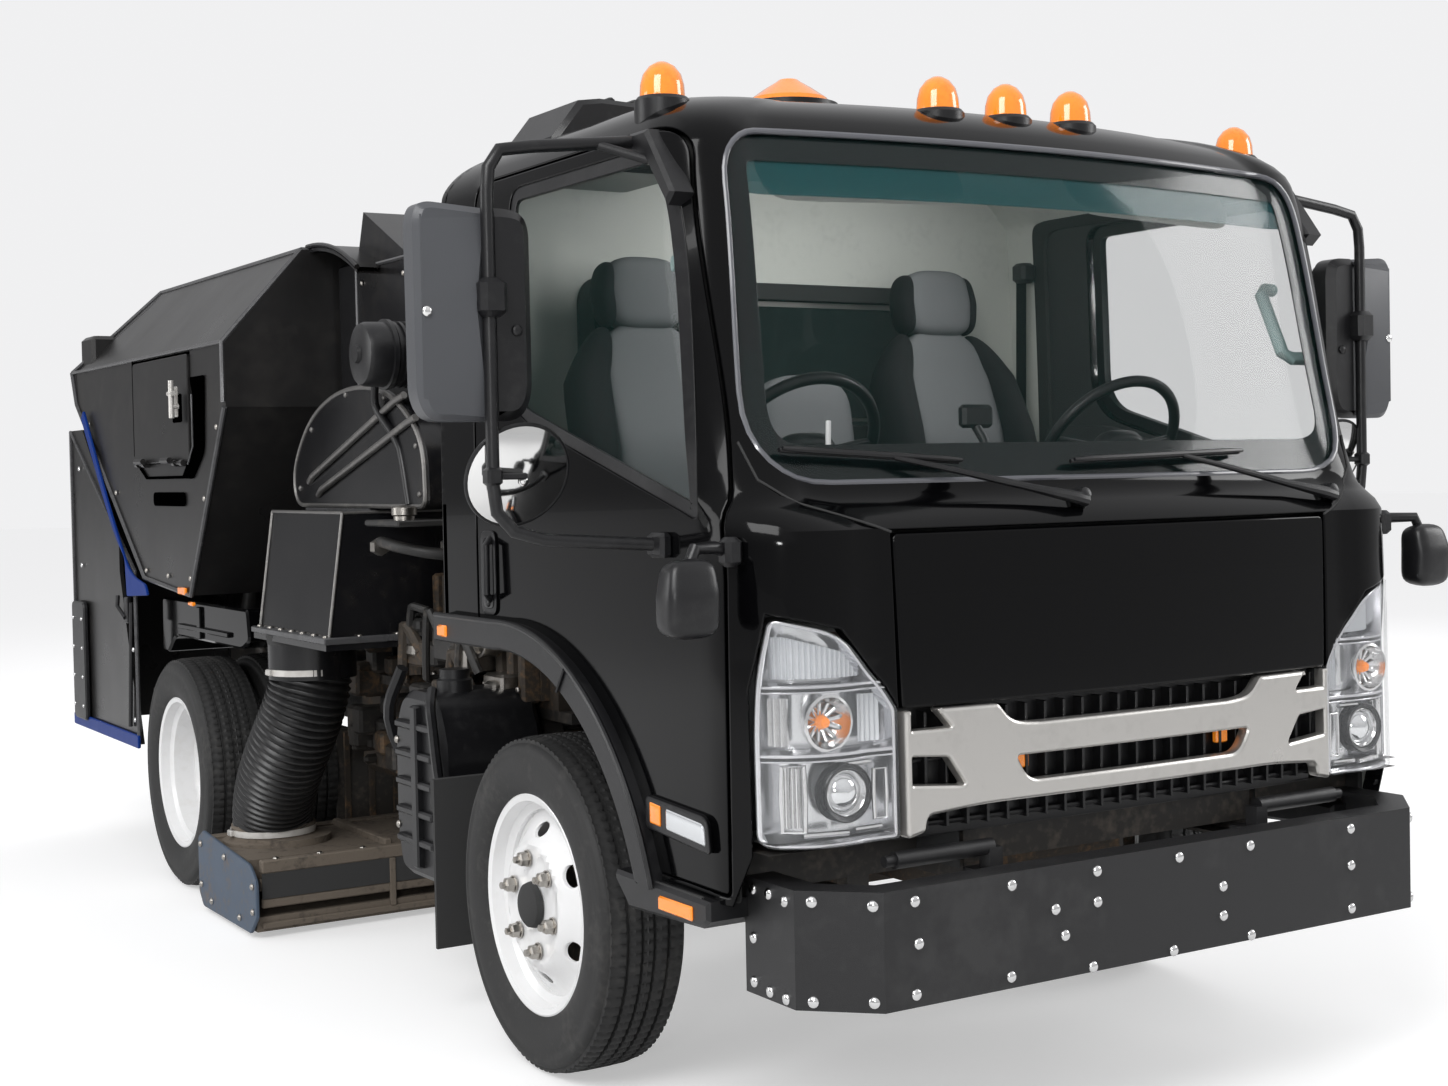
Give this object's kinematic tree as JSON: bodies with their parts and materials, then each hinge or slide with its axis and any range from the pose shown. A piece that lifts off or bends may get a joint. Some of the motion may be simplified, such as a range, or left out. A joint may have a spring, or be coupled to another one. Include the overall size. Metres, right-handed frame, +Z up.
{
  "type": "street sweeper truck",
  "caption": "Cab-over street sweeper with a tilting hopper, a suction pickup head between the axles, twin rear wheels and a tilting cab with doors and steering.",
  "frame": {"origin": "on the ground, at the middle of the whole truck's length and width", "axes": "+X to the truck's left, +Y to its rear, +Z up; the cab faces -Y"},
  "size_m": [2.9, 5.58, 2.472],
  "materials": {
    "cab_paint": "gloss",
    "black_plastic": "matt",
    "satin_metal": "satin",
    "lamp_clear": "clear",
    "lamp_amber": "gloss",
    "lamp_red": "gloss",
    "glass": "clear",
    "seat_cloth": "woven",
    "grey_plastic": "matt",
    "tyre": "matt",
    "wheel_white": "satin",
    "chassis_black": "satin",
    "cast_brown": "rough",
    "hopper_grey": "satin",
    "duct_grey": "satin",
    "guard_black": "satin",
    "rubber": "matt",
    "plate_blue_grey": "worn",
    "panel_grey": "satin",
    "head_tan": "dusty",
    "chrome": "polished"
  },
  "bodies": {
    "chassis": {"frame_rail_right": "chassis_black", "frame_rail_left": "chassis_black", "cross_members": "chassis_black", "front_axle": "cast_brown", "rear_axle": "cast_brown", "leaf_springs": "chassis_black", "bumper": "black_plastic", "chassis_engine": "cast_brown", "deck": "chassis_black", "sweeper_engine": "cast_brown", "belt_guard": "guard_black", "air_cleaner": "black_plastic", "duct_tower": "duct_grey", "suction_chute": "duct_grey", "blast_chute": "duct_grey", "air_hoses": "rubber", "side_tanks": "chassis_black", "mud_flaps": "rubber", "rear_side_panels": "panel_grey", "rear_panel": "panel_grey", "tail_lamps": "lamp_red"},
    "cab": {"cab_shell": "cab_paint", "cab_glass": "glass", "front_panel": "cab_paint", "grille": "satin_metal", "headlamps": "lamp_clear", "dash": "grey_plastic", "seats": "seat_cloth", "roof_lights": "lamp_amber", "roof_box": "black_plastic", "fender_flares": "black_plastic", "cab_steps": "black_plastic", "look_down_mirrors": "black_plastic"},
    "door_r": {"door_right": "cab_paint", "door_glass_right": "glass", "mirror_right": "black_plastic"},
    "door_l": {"door_left": "cab_paint", "door_glass_left": "glass", "mirror_left": "black_plastic"},
    "wheel_r": {"steering_wheel_right": "black_plastic"},
    "wheel_l": {"steering_wheel_left": "black_plastic"},
    "steer_r": {"knuckle_right": "cast_brown"},
    "steer_l": {"knuckle_left": "cast_brown"},
    "front_r": {"front_rim_right": "wheel_white", "front_tyre_right": "tyre"},
    "front_l": {"front_rim_left": "wheel_white", "front_tyre_left": "tyre"},
    "rear_r": {"rear_rims_right": "wheel_white", "rear_tyres_right": "tyre"},
    "rear_l": {"rear_rims_left": "wheel_white", "rear_tyres_left": "tyre"},
    "hopper": {"hopper_shell": "hopper_grey"},
    "rear_door": {"hopper_door": "hopper_grey"},
    "hatch": {"side_hatch": "hopper_grey"},
    "barrels": {"lift_barrels": "chassis_black"},
    "rods": {"lift_rods": "chrome"},
    "head": {"pickup_head": "head_tan", "head_side_plates": "plate_blue_grey"}
  },
  "joints": [
    {"name": "cab_tilt", "type": "hinge", "parent": "chassis", "child": "cab", "pos_m": [0, -2.658, 0.64], "axis": [1, 0, 0], "range_deg": [0, 45]},
    {"name": "door_right_hinge", "type": "hinge", "parent": "cab", "child": "door_r", "pos_m": [-0.95, -2.515, 1.3], "axis": [0, 0, 1], "range_deg": [0, 70]},
    {"name": "door_left_hinge", "type": "hinge", "parent": "cab", "child": "door_l", "pos_m": [0.95, -2.515, 1.3], "axis": [0, 0, -1], "range_deg": [0, 70]},
    {"name": "steering_wheel_right_turn", "type": "hinge", "parent": "cab", "child": "wheel_r", "pos_m": [-0.48, -2.07, 1.48], "axis": [0, 0.8191, 0.5736], "range_deg": [-450, 450]},
    {"name": "steering_wheel_left_turn", "type": "hinge", "parent": "cab", "child": "wheel_l", "pos_m": [0.48, -2.07, 1.48], "axis": [0, 0.8191, 0.5736], "range_deg": [-450, 450]},
    {"name": "steer_left", "type": "hinge", "parent": "chassis", "child": "steer_l", "pos_m": [0.69, -1.59, 0.405], "axis": [0, 0, 1], "range_deg": [-35, 35]},
    {"name": "steer_right", "type": "hinge", "parent": "chassis", "child": "steer_r", "pos_m": [-0.69, -1.59, 0.405], "axis": [0, 0, 1], "range_deg": [-35, 35]},
    {"name": "front_wheel_right", "type": "hinge", "parent": "steer_r", "child": "front_r", "pos_m": [-0.855, -1.59, 0.405], "axis": [1, 0, 0], "continuous": true},
    {"name": "front_wheel_left", "type": "hinge", "parent": "steer_l", "child": "front_l", "pos_m": [0.855, -1.59, 0.405], "axis": [1, 0, 0], "continuous": true},
    {"name": "rear_wheels_right", "type": "hinge", "parent": "chassis", "child": "rear_r", "pos_m": [-0.798, 1.179, 0.405], "axis": [1, 0, 0], "continuous": true},
    {"name": "rear_wheels_left", "type": "hinge", "parent": "chassis", "child": "rear_l", "pos_m": [0.798, 1.179, 0.405], "axis": [1, 0, 0], "continuous": true},
    {"name": "hopper_tip", "type": "hinge", "parent": "chassis", "child": "hopper", "pos_m": [0, 2.6, 1.7], "axis": [-1, 0, 0], "range_deg": [0, 50]},
    {"name": "rear_door_lift", "type": "hinge", "parent": "hopper", "child": "rear_door", "pos_m": [0, 2.287, 2.233], "axis": [1, 0, 0], "range_deg": [0, 90]},
    {"name": "side_hatch_drop", "type": "hinge", "parent": "hopper", "child": "hatch", "pos_m": [-1.014, 1.346, 1.505], "axis": [0, -1, 0], "range_deg": [0, 95]},
    {"name": "lift_barrel_turn", "type": "hinge", "parent": "chassis", "child": "barrels", "pos_m": [0, 1.71, 0.64], "axis": [1, 0, 0], "range_deg": [-1, 15.2]},
    {"name": "lift_rod_slide", "type": "slide", "parent": "barrels", "child": "rods", "axis": [0, 0.4753, 0.8798], "range_m": [0, 0.4457]},
    {"name": "head_lift", "type": "slide", "parent": "chassis", "child": "head", "axis": [0, 0, 1], "range_m": [0, 0.12], "deforming": ["air_hoses"]}
  ],
  "couplings": [
    {"joint": "steer_right", "follows": "steer_left", "ratio": 1},
    {"joint": "steering_wheel_right_turn", "follows": "steer_left", "ratio": -12},
    {"joint": "steering_wheel_left_turn", "follows": "steer_left", "ratio": -12},
    {"joint": "lift_rod_slide", "follows": "hopper_tip", "m_per_rad": 0.50841},
    {"joint": "lift_barrel_turn", "follows": "hopper_tip", "ratio": 0.28395}
  ]
}
